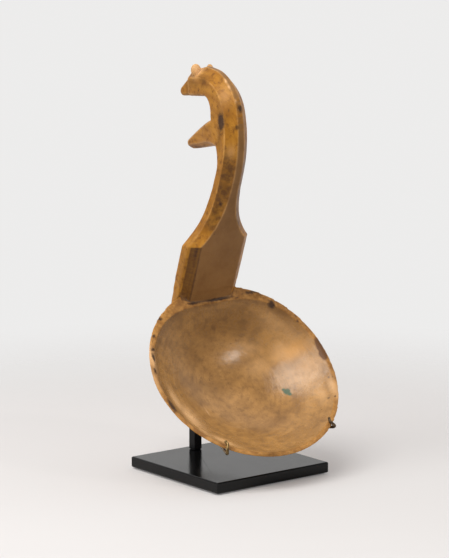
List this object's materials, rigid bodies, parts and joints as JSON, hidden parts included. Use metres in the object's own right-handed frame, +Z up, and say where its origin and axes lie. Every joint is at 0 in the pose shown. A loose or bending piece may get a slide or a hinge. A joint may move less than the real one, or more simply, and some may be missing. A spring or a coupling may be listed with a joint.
{
  "type": "wooden ladle",
  "caption": "Carved wooden feast ladle with a round bowl and a faceted neck that arches over to an animal head, held leaning back on a small black display stand.",
  "frame": {"origin": "middle of the stand's underside, on the bottom of the felt", "axes": "+Z up, the bowl opens toward -Y and the head looks toward +Y, +X to the right of a viewer in front"},
  "size_m": [0.142, 0.119, 0.2894],
  "materials": {
    "carved_wood": "hand carved, oiled, worn to a soft sheen",
    "felt": "short black felt",
    "black_base": "satin black",
    "screw_steel": "plain steel",
    "black_post": "satin black",
    "brass_wire": "dull brass",
    "bronzed_wire": "darkened brass",
    "brass_rod": "dull brass",
    "pad_felt": "short dark felt"
  },
  "bodies": {
    "stand": {"base_felt": "felt", "base_plate": "black_base", "post_screw": "screw_steel", "post": "black_post", "left_prong": "brass_wire", "right_prong": "bronzed_wire", "rest_arm": "brass_rod", "rest_pad": "pad_felt"},
    "ladle": {"ladle": "carved_wood"}
  },
  "joints": [
    {"name": "ladle_lift", "type": "slide", "parent": "stand", "child": "ladle", "axis": [0.0338, 0.686, 0.7268], "range_m": [0, 0.12]}
  ]
}
